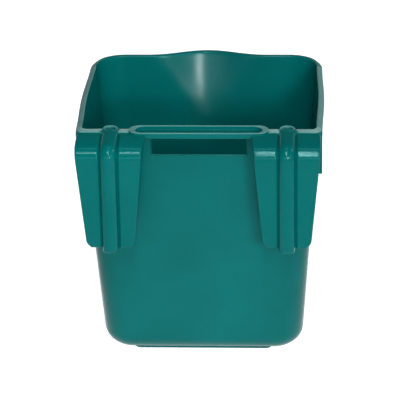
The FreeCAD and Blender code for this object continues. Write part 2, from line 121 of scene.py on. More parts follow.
class Skin:
    """One continuous skin whose faces are handed out to several pieces, with shared shading."""

    def __init__(self):
        self.points = []
        self.faces = []
        self.owners = []

    def row(self, points):
        start = len(self.points)
        self.points.extend(points)
        return list(range(start, start + len(points)))

    def face(self, corners, owner):
        self.faces.append(corners)
        self.owners.append(owner)

    def strip(self, lower, upper, owner, closed=True):
        """Quads between two rows; owner is a name or a function of the column."""
        count = len(lower)
        for i in range(count if closed else count - 1):
            j = (i + 1) % count
            name = owner(i) if callable(owner) else owner
            if name:
                self.face([lower[i], lower[j], upper[j], upper[i]], name)

    def cap(self, row, owner, flip=False):
        """Closes a flat row with a fan about its middle, leaving the shading of the row alone."""
        row = self.row([self.points[i] for i in row])
        middle = self.row([tuple(np.mean([self.points[i] for i in row], axis=0))])[0]
        for i in range(len(row)):
            j = (i + 1) % len(row)
            corners = [row[i], row[j], middle]
            self.face(corners[::-1] if flip else corners, owner)

    def stack(self, rows, owner):
        """A closed solid from flat rows of points, the lowest first, with a cap at each end."""
        rows = [self.row(points) for points in rows]
        for a, b in zip(rows, rows[1:]):
            self.strip(a, b, owner)
        self.cap(rows[0], owner, flip=True)
        self.cap(rows[-1], owner)
        return self

    def normals(self):
        """Each point's normal, weighted by the area of the faces round it."""
        at = np.array(self.points, float)
        total = np.zeros_like(at)
        for corners in self.faces:
            p = at[corners]
            area = np.zeros(3)
            for k in range(1, len(corners) - 1):
                area += np.cross(p[k] - p[0], p[k + 1] - p[0])
            for c in corners:
                total[c] += area
        length = np.linalg.norm(total, axis=1)
        length[length == 0] = 1.0
        return total / length[:, None]

    def build(self, mirror=False):
        """A mesh object for each owner; mirrored ones swap left and right."""
        normals = self.normals()
        sign = -1.0 if mirror else 1.0
        made = {}
        for name in dict.fromkeys(self.owners):
            faces = [f for f, o in zip(self.faces, self.owners) if o == name]
            used = sorted({i for f in faces for i in f})
            place = {old: new for new, old in enumerate(used)}
            points = [(sign * x * MM, y * MM, z * MM) for x, y, z in (self.points[i] for i in used)]
            shade = [(sign * x, y, z) for x, y, z in (normals[i] for i in used)]
            polys = [[place[i] for i in (f[::-1] if mirror else f)] for f in faces]
            mesh = bpy.data.meshes.new(name)
            mesh.from_pydata(points, [], polys)
            mesh.polygons.foreach_set("use_smooth", [True] * len(polys))
            mesh.normals_split_custom_set_from_vertices(shade)
            mesh.update()
            item = bpy.data.objects.new(name, mesh)
            bpy.context.scene.collection.objects.link(item)
            made[name] = item
        return made


pieces = {}


def add_pieces(made, prefix=""):
    for name, item in made.items():
        item.name = f"{prefix}{name}_look"
        pieces[prefix + name] = item


def rounded_box(lo, hi, inset, radius, z, steps):
    """A level rectangle with round corners, counter-clockwise and drawn in by inset."""
    points = []
    corners = [(hi[0], lo[1], -90), (hi[0], hi[1], 0), (lo[0], hi[1], 90), (lo[0], lo[1], 180)]
    for cx, cy, start in corners:
        mx = cx + (inset + radius) * (1 if cx == lo[0] else -1)
        my = cy + (inset + radius) * (1 if cy == lo[1] else -1)
        for k in range(steps + 1):
            a = math.radians(start + 90 * k / steps)
            points.append((mx + radius * math.cos(a), my + radius * math.sin(a), z))
    return points


# ---------------------------------------------------------------- tub, rim and hand slot

def rise(z):
    """How far up the tub a level is: 0 at the floor, 1 at the rim."""
    return (z - FLOOR) / (TOP - FLOOR)


def bell(x, z):
    """How far the pouring spout carries the front wall outwards."""
    up = (z - SPOUT_LOW) / (TOP - SPOUT_LOW)
    if up <= 0:
        return 0.0
    up = min(up, 1.0)
    half = mix(*SPOUT_HALF, up)
    inside = max(0.0, 1.0 - (x / half) ** 2)
    return SPOUT_REACH * up ** 1.3 * inside ** 3


def right_half(offset, z):
    """The right half of the tub's outline at a level, from the back's middle to the front's."""
    t = rise(z)
    wide = HALF - NARROWING * (1 - t) + offset
    back = REAR + REAR_DRAFT * (1 - t) - offset
    front = FRONT - FRONT_DRAFT * (1 - t) + offset
    rear_grow = offset if offset < 0 else offset * 0.2
    rear_round = max(TIGHTEST_CORNER, mix(LOW_CORNER, REAR_CORNER, t) + rear_grow)
    front_round = mix(LOW_CORNER, FRONT_CORNER, t) + offset
    bow = SIDE_BOW * smooth(0.0, 1.0, t)
    line = [(x, back) for x in REAR_COLUMNS]
    last = wide - rear_round
    line += [(mix(SLOT_HALF + BULL, last, f), back) for f in REAR_SHARES]
    for k in range(9):
        a = math.radians(-90 + 90 * k / 8)
        line.append((last + rear_round * math.cos(a), back + rear_round * (1 + math.sin(a))))
    start, end = back + rear_round, front - front_round
    for k in range(1, 16):
        f = k / 16
        line.append((wide, mix(start, end, f)))
    for k in range(15):
        a = math.radians(90 * k / 14)
        line.append((wide - front_round * (1 - math.cos(a)), end + front_round * math.sin(a)))
    last = wide - front_round
    for k in range(1, 49):
        x = last * (1 - k / 48) ** 1.35
        line.append((x, front + bell(x, z)))
    depth = end - start
    out = []
    for x, y in line:
        across = min(1.0, max(0.0, (y - start) / depth))
        out.append((x + bow * math.sin(math.pi * across) ** 2 * (x / wide), y))
    return out


# Where the columns of the back lie: across the slot, then out to the corner.
REAR_COLUMNS = [0.0, 12.0, 24.0, 36.0, 46.0, 54.0, SLOT_HALF - 1.0, SLOT_HALF + BULL]
REAR_PLACES = [68.0, 75.0, 81.0, 86.0, 92.0, 97.0, 101.9, 103.6, 107.5, 111.7, 115.9, 119.8,
               121.5, 126.0, 131.0, 136.0]
REAR_SHARES = [(x - SLOT_HALF - BULL) / (HALF - REAR_CORNER - SLOT_HALF - BULL)
               for x in REAR_PLACES]


def outline(offset, z):
    """The whole outline, counter-clockwise from the middle of the back."""
    half = right_half(offset, z)
    return half + [(-x, y) for x, y in half[-2:0:-1]]


REFERENCE = outline(0.0, TOP)
COLUMNS = len(REFERENCE)


def region(i):
    """Which stretch of the tub lies after a column."""
    x, y = (np.array(REFERENCE[i]) + np.array(REFERENCE[(i + 1) % COLUMNS])) / 2
    if y > SIDE_END:
        return "spout" if abs(x) < SPOUT_PIECE else "front"
    if y > SIDE_START:
        return "right" if x > 0 else "left"
    return "rear"


REGIONS = [region(i) for i in range(COLUMNS)]

# Stretches of |X| over which the rim changes: at the back's ends, beside a rib (from its middle)
# and at the grip's ends.
BACK_ENDS = (146.5, 150.5)
RIB_SIDES = (8.2, 9.6)
GRIP_ENDS = (81.5, 85.5)


def rear_share(x, y):
    """1 along the straight back of the rim, 0 round its sides and front."""
    return (1.0 - smooth(*BACK_ENDS, abs(x))) if y < SIDE_START else 0.0


# The rim's section as (offset, drop below the top). Its crown is level along the front, falls away
# outwards along the sides and faces the hooks along the back. Round the sides and front it ends in
# a skirt, and along the back in a short ledge that the hooks leave from.
FRONT_CROWN = [(-3.0, 4.2), (-3.0, 1.6), (-2.75, 0.75), (-2.1, 0.2), (-1.2, 0.02), (0.3, 0.0),
               (1.8, 0.1), (3.1, 0.4), (4.1, 1.0), (4.75, 1.9), (4.98, 2.9)]
SIDE_CROWN = [(-3.0, 4.2), (-3.0, 1.4), (-2.8, 0.65), (-2.3, 0.15), (-1.6, 0.1), (-0.5, 0.42),
              (0.8, 0.9), (2.2, 1.5), (3.5, 2.25), (4.4, 3.05), (4.88, 4.0)]
BACK_CROWN = [(-3.0, 4.2), (-3.0, 1.6), (-2.8, 0.85), (-2.3, 0.3), (-1.5, 0.05), (-0.5, 0.0),
              (0.7, 0.18), (1.7, 0.65), (2.8, 1.35), (3.9, 2.07), (4.9, 2.75)]
SKIRT = [(5.0, 5.2), (5.0, 8.0), (5.0, 11.2), (4.7, 11.85), (3.8, 12.0), (2.8, 11.85), (2.5, 11.2),
         (2.5, 6.4), (2.2, 5.2), (1.2, 4.6), (0.3, 5.0), (0.0, 5.8)]
LEDGE = [(5.0, 3.1), (5.0, 4.1), (4.9, 5.1), (4.5, 5.6), (3.6, 5.7), (2.6, 5.7), (1.8, 5.7),
         (1.0, 5.7), (0.5, 5.8), (0.2, 5.9), (0.05, 6.0), (0.0, 6.1)]
CROWN_SINKS, SKIRT_SINKS = 7.0, 1.5
RIM_SECTION = [(*points, CROWN_SINKS) for points in zip(SIDE_CROWN, FRONT_CROWN, BACK_CROWN)]
RIM_SECTION += [(skirt, skirt, ledge, SKIRT_SINKS) for skirt, ledge in zip(SKIRT, LEDGE)]
RIM_START = TOP - SIDE_CROWN[0][1]


def sunk(x, y):
    """1 where the rim's bead is left out: under the grip, a rib or its boss."""
    if y > SIDE_START:
        return 0.0
    under_rib = 1.0 - smooth(*RIB_SIDES, abs(abs(x) - HOOK_MIDDLE))
    under_grip = 1.0 - smooth(*GRIP_ENDS, abs(x))
    return max(under_rib, under_grip)


def rim_row(section):
    """The rim's points at one place of its section, all the way round."""
    side, front, back = (np.array(point) for point in section[:3])
    points = []
    for i, (x, y) in enumerate(REFERENCE):
        shape = mix(side, front, smooth(SIDE_END + 12.0, FRONT - 8.0, y))
        out, drop = mix(shape, back, rear_share(x, y))
        drop += section[3] * sunk(x, y)
        px, py = outline(out, TOP - min(drop, 6.0))[i]
        points.append((px, py, TOP - drop))
    return points


def level_row(offset, z):
    return [(x, y, z) for x, y in outline(offset, z)]


# The wall's levels: plain, then closer over the spout, then over the hand slot.
LEVELS = [28.5, 45.0, 70.0, 100.0, 130.0, 160.0, 185.0, 205.0, 222.0]
LEVELS += [mix(SPOUT_LOW, SLOT_LOW - BULL, k / 18) for k in range(19)]
LEVELS += [mix(SLOT_LOW - BULL, GRIP_LOW + BULL, k / 8) for k in range(1, 9)]


def in_slot(i):
    """Whether the hand slot is open after a column."""
    a, b = REFERENCE[i], REFERENCE[(i + 1) % COLUMNS]
    return REGIONS[i] == "rear" and max(abs(a[0]), abs(b[0])) < SLOT_HALF + BULL + 0.1


def wall_owner(z0, z1):
    """Names the piece of each column between two levels, or none inside the hand slot."""
    beside_slot = z0 > SLOT_LOW - BULL - 0.1 and z1 < GRIP_LOW + BULL + 0.1

    def owner(i):
        kind = REGIONS[i]
        if beside_slot and in_slot(i):
            return None
        if kind == "spout":
            return "pouring_spout" if z0 > SPOUT_LOW - 0.1 else "front_wall"
        return f"{kind}_wall"
    return owner


def rim_owner(i):
    """Names the piece of the rim after a column."""
    kind = REGIONS[i]
    if kind in ("spout", "front"):
        return "front_rim"
    if kind == "rear":
        return "right_rear_rim" if i < COLUMNS / 2 else "left_rear_rim"
    return f"{kind}_rim"


def make_tub():
    """The tub and its rim in one skin: up the inside, over the rim and down the outside."""
    skin = Skin()

    def floor_rows(offset, z, radius):
        """Rows from the middle of the floor out to where it turns up, then round the turn."""
        edge = np.array(outline(offset - radius, z))
        middle = np.array([0.0, (REAR + REAR_DRAFT + FRONT - FRONT_DRAFT) / 2])
        rows = []
        for f in (0.02, 0.15, 0.35, 0.55, 0.75, 0.9):
            rows.append([(*(middle + (p - middle) * f), z) for p in edge])
        for k in range(9):
            a = math.radians(90 * k / 8)
            out = offset - radius * (1 - math.sin(a))
            high = z + radius * (1 - math.cos(a))
            rows.append([(x, y, high) for x, y in outline(out, high)])
        return rows

    inner = [skin.row(r) for r in floor_rows(-WALL, FLOOR + WALL, BOTTOM_ROUND - WALL)]
    skin.cap(inner[0], "tub_floor")
    for a, b in zip(inner, inner[1:]):
        skin.strip(a, b, "tub_floor")
    inside = {LEVELS[0]: inner[-1]}
    row = inner[-1]
    for z0, z1 in zip(LEVELS, LEVELS[1:]):
        following = skin.row(level_row(-WALL, z1))
        skin.strip(row, following, wall_owner(z0, z1))
        inside[z1] = row = following
    owner = wall_owner(LEVELS[-1], RIM_START)
    for section in RIM_SECTION:
        following = skin.row(rim_row(section))
        skin.strip(row, following, owner)
        row, owner = following, rim_owner
    outside = {}
    for z in reversed(LEVELS):
        following = skin.row(level_row(0.0, z))
        upper = min([v for v in LEVELS if v > z], default=TOP - 4)
        skin.strip(row, following, wall_owner(z, upper))
        outside[z] = row = following
    outer = floor_rows(0.0, FLOOR, BOTTOM_ROUND)
    for points in reversed(outer[:-1]):
        following = skin.row(points)
        skin.strip(row, following, "tub_floor")
        row = following
    skin.cap(row, "tub_floor", flip=True)

    # the rounded edge of the hand slot, from the outer face through to the inner one
    low, high = SLOT_LOW - BULL, GRIP_LOW + BULL
    levels = [z for z in LEVELS if low - 0.1 < z < high + 0.1]
    right = REAR_COLUMNS.index(SLOT_HALF + BULL)
    left = COLUMNS - right
    columns = [i % COLUMNS for i in range(left, COLUMNS + right + 1)]
    loop = [(i, levels[0]) for i in columns]
    loop += [(columns[-1], z) for z in levels[1:]]
    loop += [(i, levels[-1]) for i in columns[-2::-1]]
    loop += [(columns[0], z) for z in levels[-2:0:-1]]
    ring = [outside[z][i] for i, z in loop]
    for k in range(1, 8):
        a = math.pi * k / 8
        points = []
        for i, z in loop:
            far = np.array(skin.points[outside[z][i]])
            near = np.array(skin.points[inside[z][i]])
            towards = np.array([
                -np.sign(far[0]) if i in (columns[0], columns[-1]) else 0.0, 0.0,
                1.0 if z == low else (-1.0 if z == high else 0.0)])
            middle = (far + near) / 2 + (far - near) / 2 * math.cos(a)
            points.append(tuple(middle + towards * BULL * math.sin(a)))
        following = skin.row(points)
        skin.strip(ring, following, "rear_wall")
        ring = following
    skin.strip(ring, [inside[z][i] for i, z in loop], "rear_wall")
    return skin


add_pieces(make_tub().build())


# ---------------------------------------------------------------- grip over the hand slot

def stadium(half_length, y0, y1, count=20):
    """A long oval with round ends, counter-clockwise."""
    radius = (y1 - y0) / 2
    reach = half_length - radius
    middle = (y0 + y1) / 2
    points = []
    for side in (1, -1):
        for k in range(count + 1):
            a = math.radians(180 * k / count - 90 * side)
            points.append((side * reach + radius * math.cos(a), middle + radius * math.sin(a)))
        steps = 14
        for k in range(1, steps):
            points.append((side * reach * (1 - 2 * k / steps), middle + side * radius))
    return points


def make_grip():
    lo, hi = span("grip_channel")
    floor = GRIP_LOW + 2.5

    def ring(inset, z, ends=0.0):
        """The grip's outline drawn in by inset, and by ends more at its round ends."""
        inset = min(inset, (hi[1] - lo[1]) / 2 - 0.6)
        return [(x, y, z) for x, y in stadium(hi[0] - inset - ends, lo[1] + inset, hi[1] - inset)]

    # up the outside, over the lip and down into the channel
    return Skin().stack([
        ring(2.2, GRIP_LOW), ring(0.9, GRIP_LOW + 0.15), ring(0.25, GRIP_LOW + 0.7),
        ring(0.0, GRIP_LOW + 1.6), ring(0.0, TOP - 1.7), ring(0.25, TOP - 0.75),
        ring(0.85, TOP - 0.15), ring(1.6, TOP + 0.1), ring(2.2, TOP - 0.05, 3.0),
        ring(2.75, TOP - 0.6, 5.2), ring(3.1, TOP - 1.5, 6.0), ring(3.25, floor + 0.5, 6.2),
        ring(3.4, floor + 0.12, 6.3), ring(3.9, floor, 6.4)], "grip_channel")


add_pieces(make_grip().build())


# ---------------------------------------------------------------- foot

FOOT_CORNER = 9.0
FOOT_WIDER = (5.5, 3.0)


def make_foot():
    """The pad under the floor, drawn wider than the CAD at the left and the right."""
    lo, hi = span("base_foot")
    lo[0] -= FOOT_WIDER[0]
    hi[0] += FOOT_WIDER[1]
    rows = [rounded_box(lo, hi, inset, FOOT_CORNER - inset, z, 6)
            for inset, z in ((1.2, 0.0), (0.35, 0.3), (0.0, 1.1), (0.0, hi[2] + 0.6))]
    return Skin().stack(rows, "base_foot")


add_pieces(make_foot().build())


# ---------------------------------------------------------------- hooks

# The hook leaves the rim's ledge steeply, eases off onto the bridge and turns down at the tongue.
LEDGE_TILT, EASED_TILT, BRIDGE_TILT = math.radians(34.0), math.radians(5.0), math.radians(13.0)
DOWN = math.pi / 2


def bend(y, z, radius, start, end, steps):
    """Stations (y, z, tilt) round a bend of the hook that begins at a place."""
    stations = []
    for k in range(steps):
        a0, a1 = mix(start, end, k / steps), mix(start, end, (k + 1) / steps)
        y -= radius * (math.sin(a1) - math.sin(a0))
        z -= radius * (math.cos(a0) - math.cos(a1))
        stations.append((y, z, a1))
    return stations


def hook_line():
    """Stations down the hook's outer face, as (y, z, tilt), from the rim to its lower edge."""
    y, z = REAR - OVERHANG + 0.3, TOP - 2.7
    stations = [(y + 2.0, z + 1.35, LEDGE_TILT), (y, z, LEDGE_TILT)]
    stations += bend(y, z, -4.0, LEDGE_TILT, EASED_TILT, 5)
    stations += bend(*stations[-1][:2], 200.0, EASED_TILT, BRIDGE_TILT, 8)
    y, z, _ = stations[-1]
    stations += bend(y, z, (y - HOOK_BACK) / (1 - math.sin(BRIDGE_TILT)), BRIDGE_TILT, DOWN, 14)
    y, z, _ = stations[-1]
    foot = HOOK_LOW + HOOK_CORNER
    stations += [(y, mix(z, foot, k / 12), DOWN) for k in range(1, 13)]
    for k in range(1, 9):
        below = (HOOK_CORNER - PLATE / 2) * math.sin(DOWN * k / 8)
        stations.append((y, foot - below, DOWN))
    return stations


def along(stations):
    """Distance travelled at each station."""
    total, out = 0.0, []
    for k, (y, z, _) in enumerate(stations):
        if k:
            total += math.hypot(y - stations[k - 1][0], z - stations[k - 1][1])
        out.append(total)
    return out


LINE = hook_line()
TRAVEL = along(LINE)
BEND_END = next(k for k, station in enumerate(LINE) if station[2] > DOWN - 1e-6)


def hook_sides(k):
    """Inner and outer half width of the hook plate at a station."""
    z = LINE[k][1]
    if k <= BEND_END:
        share = TRAVEL[k] / TRAVEL[BEND_END]
        inner = HOOK_HALF + 6.5 * (1 - share) ** 1.7
        outer = HOOK_HALF + 1.2 * math.sin(math.pi * share)
    else:
        t = (LINE[BEND_END][1] - z) / (LINE[BEND_END][1] - HOOK_LOW)
        inner = outer = mix(HOOK_HALF, HOOK_HALF_LOW, t)
    over = (HOOK_LOW + HOOK_CORNER) - z
    if over > 0:
        cut = HOOK_CORNER - math.sqrt(max(0.0, HOOK_CORNER ** 2 - over ** 2))
        inner, outer = inner - cut, outer - cut
    return inner, outer


def groove(u, depth):
    """The dip beside the rib."""
    return -depth * (1.0 - smooth(RIB_HALF + 0.6, RIB_HALF + 3.4, abs(u)))


def place(k, u, h):
    """A point on the hook: u across, h out of its face."""
    y, z, tilt = LINE[k]
    return (HOOK_MIDDLE + u, y - h * math.sin(tilt), z + h * math.cos(tilt))


PLATE_SPREAD = [0.0, 0.12, 0.3, 0.5, 0.72, 0.9, 1.0]
GROOVE_PLACES = [RIB_HALF + u for u in (4.2, 3.0, 2.1, 1.3, 0.3, -3.0)]
EDGE_ANGLES = [math.radians(a) for a in (70, 45, 20, -20, -45, -70)]


def plate_row(k, thin=1.0):
    """The plate's section at a station: its face, outer edge, back and inner edge."""
    inner, outer = hook_sides(k)
    depth = GROOVE * smooth(1.0, 6.0, TRAVEL[k]) * thin
    edge = PLATE / 2 * thin
    left = [-mix(inner - edge, RIB_HALF + 5.0, f) for f in PLATE_SPREAD]
    left += [-u for u in GROOVE_PLACES]
    right = GROOVE_PLACES[::-1] + [mix(RIB_HALF + 5.0, outer - edge, f) for f in PLATE_SPREAD]
    across = left + right
    section = [(u, groove(u, depth) - (PLATE / 2 - edge)) for u in across]
    section += [(outer - edge + edge * math.cos(a), -PLATE / 2 + edge * math.sin(a))
                for a in EDGE_ANGLES]
    section += [(u, -PLATE + (PLATE / 2 - edge)) for u in across[::-1]]
    section += [(-(inner - edge) - edge * math.cos(a), -PLATE / 2 + edge * math.sin(a))
                for a in EDGE_ANGLES[::-1]]
    return [place(k, u, h) for u, h in section]


def make_plate():
    """The bridge and the tongue, with a rounded lower edge."""
    skin = Skin()
    rows = [skin.row(plate_row(k)) for k in range(1, len(LINE))]
    last = len(LINE) - 1
    base = np.array(plate_row(last))
    for a in (25, 50, 72, 86):
        r = math.radians(a)
        points = np.array(plate_row(last, max(0.08, math.cos(r))))
        points[:, 2] = base[:, 2] - PLATE / 2 * math.sin(r)
        rows.append(skin.row([tuple(p) for p in points]))
    for k, (a, b) in enumerate(zip(rows, rows[1:]), start=1):
        skin.strip(a, b, "hook_bridge" if k < BEND_END else "hook_tongue")
    skin.cap(rows[0], "hook_bridge", flip=True)
    skin.cap(rows[-1], "hook_tongue")
    return skin


CROWN_TILT = (math.radians(1.5), math.radians(8.0))
CROWN_BEND = 19.0


def crown_line():
    """The rib's crown, as (y, z, tilt) stations from the rim to where its end rounds off."""
    y, z = REAR + 1.0, TOP + 0.3
    stations = [(y, z, CROWN_TILT[0])]
    level = y - (HOOK_BACK - RIB_RISE + CROWN_BEND * (1 - math.sin(CROWN_TILT[1])))
    for k in range(20):
        tilt = mix(*CROWN_TILT, (k + 0.5) / 20)
        y -= level / 20
        z -= level / 20 * math.tan(tilt)
        stations.append((y, z, tilt))
    stations += bend(y, z, CROWN_BEND, CROWN_TILT[1], DOWN, 24)
    y, z, _ = stations[-1]
    stations += [(y, mix(z, RIB_FOOT + RIB_END, k / 16), DOWN) for k in range(1, 17)]
    return stations


CROWN = crown_line()


def above_plate(y, z):
    """Distance from a point to the hook's face."""
    best = 1e9
    for (y0, z0, _), (y1, z1, _) in zip(LINE, LINE[1:]):
        dy, dz = y1 - y0, z1 - z0
        t = min(1.0, max(0.0, ((y - y0) * dy + (z - z0) * dz) / (dy * dy + dz * dz)))
        best = min(best, math.hypot(y - y0 - t * dy, z - z0 - t * dz))
    return best


def rib_row(y, z, tilt, inset=0.0):
    """The rib's full-shouldered section, square to its crown; its flat back is in the plate."""
    half = RIB_HALF - inset
    rise_here = min(above_plate(y, max(z, HOOK_LOW + 3.0)), RIB_RISE)
    reach = rise_here + PLATE - 0.15
    height = min(half, rise_here + 1.2)
    section = []
    for i in range(27):
        a = math.pi * i / 26
        depth = inset + height * (1 - abs(math.sin(a)) ** 0.7)
        section.append((-half * math.cos(a), min(depth, reach)))
    section += [(half * u, reach) for u in (1.0, 0.7, 0.35, 0.0, -0.35, -0.7, -1.0)]
    return [(HOOK_MIDDLE + u, y + depth * math.sin(tilt), z - depth * math.cos(tilt))
            for u, depth in section]


def make_rib():
    rows = [rib_row(*station) for station in CROWN]
    y, z, tilt = CROWN[-1]
    for a in (15, 32, 48, 62, 75, 86):
        r = math.radians(a)
        rows.append(rib_row(y, z - RIB_END * math.sin(r), tilt, RIB_END * (1 - math.cos(r))))
    return Skin().stack(rows, "hook_rib")


def make_boss():
    """The round head of a rib, standing inside the rear wall with a dished top."""
    centre = REAR + WALL
    low = span("right_rib_boss")[0][2]

    def ring(inset, z, back):
        """Round towards the tub, and reaching back over the wall by a distance."""
        radius = RIB_HALF - inset
        points = []
        for k in range(21):
            a = math.pi * k / 20
            points.append((HOOK_MIDDLE + radius * math.cos(a), centre + radius * math.sin(a), z))
        for k in range(1, 16):
            a = math.pi * k / 16
            y = centre - back * math.sin(a) ** 0.6
            points.append((HOOK_MIDDLE - radius * math.cos(a), y, z))
        return points

    # up the outside, over the lip and down into the dish
    return Skin().stack([
        ring(1.5, low, 2.0), ring(0.4, low + 0.5, 2.0), ring(0.0, low + 1.6, 2.0),
        ring(0.0, TOP - 5.0, 2.0), ring(0.0, TOP - 2.9, 8.0), ring(0.0, TOP - 1.0, 8.0),
        ring(0.25, TOP - 0.1, 8.0), ring(0.9, TOP + 0.5, 7.6), ring(1.6, TOP + 0.6, 7.0),
        ring(2.3, TOP + 0.25, 6.3), ring(2.9, TOP - 0.7, 5.7), ring(3.5, TOP - 2.2, 5.0),
        ring(4.6, TOP - 3.6, 4.0), ring(6.4, TOP - 4.4, 2.6),
        ring(8.6, TOP - 4.7, 1.2)], "rib_boss")


GUSSET_EDGE = 1.2


def make_gusset():
    """The web under a rear corner of the rim, with softened edges."""
    lo, hi = span("right_corner_gusset")
    lo[0] -= 2.0
    hi[0] -= 0.1
    places = ((0.8, lo[2]), (0.25, lo[2] + 0.25), (0.0, lo[2] + 0.8), (0.0, TOP - 4.5))
    rows = [rounded_box(lo, hi, inset, GUSSET_EDGE, z, 4) for inset, z in places]
    return Skin().stack(rows, "corner_gusset")


for maker in (make_plate, make_rib, make_boss, make_gusset):
    part = maker()
    add_pieces(part.build(), "right_")
    add_pieces(part.build(mirror=True), "left_")


# ---------------------------------------------------------------- glossy moulded plastic

TEAL = (0.0, 0.081, 0.078)
SCUFF = (0.10, 0.33, 0.31)
PLASTIC_IOR = 1.22
TEAL_SHINE, WORN_SHINE = (0.5, 1.0, 1.0, 1.0), (0.85, 1.0, 1.0, 1.0)
POLISH, POLISH_WIDTH = (0.7, 0.2), (0.012, 0.046)
# roughness added over the faint scuffs, and over the painted highlights on the rims and lips
SCUFF_AND_HIGHLIGHT_ROUGHENS = 0.35


def remap(tree, source, low, high, bottom, top, kind="LINEAR"):
    """Turns the stretch from low to high into bottom to top, and holds it at both ends."""
    item = tree.nodes.new("ShaderNodeMapRange")
    item.interpolation_type = kind
    item.inputs["From Min"].default_value = low
    item.inputs["From Max"].default_value = high
    item.inputs["To Min"].default_value = bottom
    item.inputs["To Max"].default_value = top
    tree.links.new(source, item.inputs["Value"])
    return item.outputs["Result"]


def plastic(name, seed, gloss, painted_highlight_colour=None, crest=(0.1, 0.45), above=0.0, beyond=-1000.0,
            polished=False):
    """Teal polypropylene: uneven colour, a fine skin, faint scuffs.

    A piece given a highlight colour has it painted where its surface faces up, as steeply as
    crest says, above one height and beyond one place along Y, and not round the front: a painted
    highlight, standing in for the bright room reflected on the crown of a rim or lip, which is
    made rougher there too. A polished one shines more along the middle of the bucket, where the
    feed slides out.
    """
    material = bpy.data.materials.new(name)
    material.use_nodes = True
    tree = material.node_tree
    nodes, link = tree.nodes, tree.links.new
    shader = nodes["Principled BSDF"]

    def node(kind, **settings):
        item = nodes.new(kind)
        for key, value in settings.items():
            setattr(item, key, value)
        return item

    where = node("ShaderNodeTexCoord")
    spot = node("ShaderNodeSeparateXYZ")
    link(where.outputs["Object"], spot.inputs["Vector"])

    def noise(scale, detail, stretch=(1, 1, 1), rough=0.5):
        turn = node("ShaderNodeMapping")
        turn.inputs["Scale"].default_value = stretch
        turn.inputs["Location"].default_value = (seed, seed * 0.37, seed * 0.71)
        link(where.outputs["Object"], turn.inputs["Vector"])
        texture = node("ShaderNodeTexNoise")
        texture.inputs["Scale"].default_value = scale
        texture.inputs["Detail"].default_value = detail
        texture.inputs["Roughness"].default_value = rough
        link(turn.outputs["Vector"], texture.inputs["Vector"])
        return texture.outputs["Fac"]

    def ramp(source, low, high, bottom=0.0, top=1.0):
        return remap(tree, source, low, high, bottom, top)

    def times(a, b):
        item = node("ShaderNodeMath", operation="MULTIPLY")
        link(a, item.inputs[0])
        link(b, item.inputs[1])
        return item.outputs[0]

    def blend(a, b, factor):
        item = node("ShaderNodeMix", data_type="RGBA")
        for socket, value in ((item.inputs[6], a), (item.inputs[7], b)):
            if isinstance(value, tuple):
                socket.default_value = (*value, 1.0)
            else:
                link(value, socket)
        link(factor, item.inputs["Factor"])
        return item.outputs[2]

    def bumps(height, strength, distance):
        item = node("ShaderNodeBump")
        item.inputs["Strength"].default_value = strength
        item.inputs["Distance"].default_value = distance
        link(height, item.inputs["Height"])
        return item

    cloud = ramp(noise(9.0, 3.0), 0.3, 0.7)
    scuff = ramp(noise(60.0, 4.0, (1.0, 1.0, 0.12), 0.62), 0.71, 0.82, 0.0, 0.2)
    colour = blend(tuple(c * 0.88 for c in TEAL), tuple(c * 1.08 for c in TEAL), cloud)
    colour = blend(colour, SCUFF, scuff)
    scuff_and_highlight = scuff
    if painted_highlight_colour:
        # painted highlight: a paler colour where the surface faces up, standing in for the bright
        # room reflected on rims and lips
        facing = node("ShaderNodeSeparateXYZ")
        link(node("ShaderNodeNewGeometry").outputs["Normal"], facing.inputs["Vector"])
        scuff_and_highlight = ramp(facing.outputs["Z"], *crest)
        for mask in (
                ramp(spot.outputs["Y"], (SIDE_END - 5.0) * MM, (SIDE_END + 22.0) * MM, 1.0, 0.0),
                ramp(noise(45.0, 3.0), 0.25, 0.6, 0.75, 1.0),
                ramp(spot.outputs["Z"], above * MM, (above + 0.8) * MM),
                ramp(spot.outputs["Y"], beyond * MM, (beyond + 3.0) * MM)):
            scuff_and_highlight = times(scuff_and_highlight, mask)
        colour = blend(colour, painted_highlight_colour, scuff_and_highlight)
    link(colour, shader.inputs["Base Color"])
    wave = noise(14.0, 4.0)
    rough = node("ShaderNodeMath", operation="MULTIPLY_ADD")
    link(scuff_and_highlight, rough.inputs[0])
    rough.inputs[1].default_value = SCUFF_AND_HIGHLIGHT_ROUGHENS
    link(ramp(wave, 0.3, 0.7, *gloss), rough.inputs[2])
    link(rough.outputs[0], shader.inputs["Roughness"])
    shader.inputs["IOR"].default_value = PLASTIC_IOR
    shader.inputs["Specular Tint"].default_value = WORN_SHINE if polished else TEAL_SHINE
    if polished:
        aside = node("ShaderNodeMath", operation="ABSOLUTE")
        link(spot.outputs["X"], aside.inputs[0])
        link(ramp(aside.outputs[0], *POLISH_WIDTH, *POLISH), shader.inputs["Specular IOR Level"])
    grain = bumps(noise(700.0, 2.0), 0.015, 0.0003)
    swell = bumps(wave, 0.35, 0.0012)
    link(grain.outputs["Normal"], swell.inputs["Normal"])
    link(swell.outputs["Normal"], shader.inputs["Normal"])
    return material


HOOK_GLOSS, TUB_GLOSS, WORN_GLOSS = (0.11, 0.18), (0.2, 0.28), (0.24, 0.32)
# painted highlight colours, for the rim's sides, the rim's back and the lips of the grip and the
# rib bosses
PAINTED_HIGHLIGHT_SIDE, PAINTED_HIGHLIGHT_BACK, PAINTED_HIGHLIGHT_LIP = (0.085, 0.18, 0.174), (0.14, 0.25, 0.245), (0.075, 0.19, 0.185)
STEEP, LEVEL = (0.3, 0.9), (0.5, 1.0)
LIP_LOW = TOP - 1.8
hook_plastic = plastic("moulded_teal_hooks", 3.0, HOOK_GLOSS)
tub_plastic = plastic("moulded_teal_tub", 3.0, TUB_GLOSS)
spout_plastic = plastic("moulded_teal_scoured", 3.0, WORN_GLOSS, polished=True)
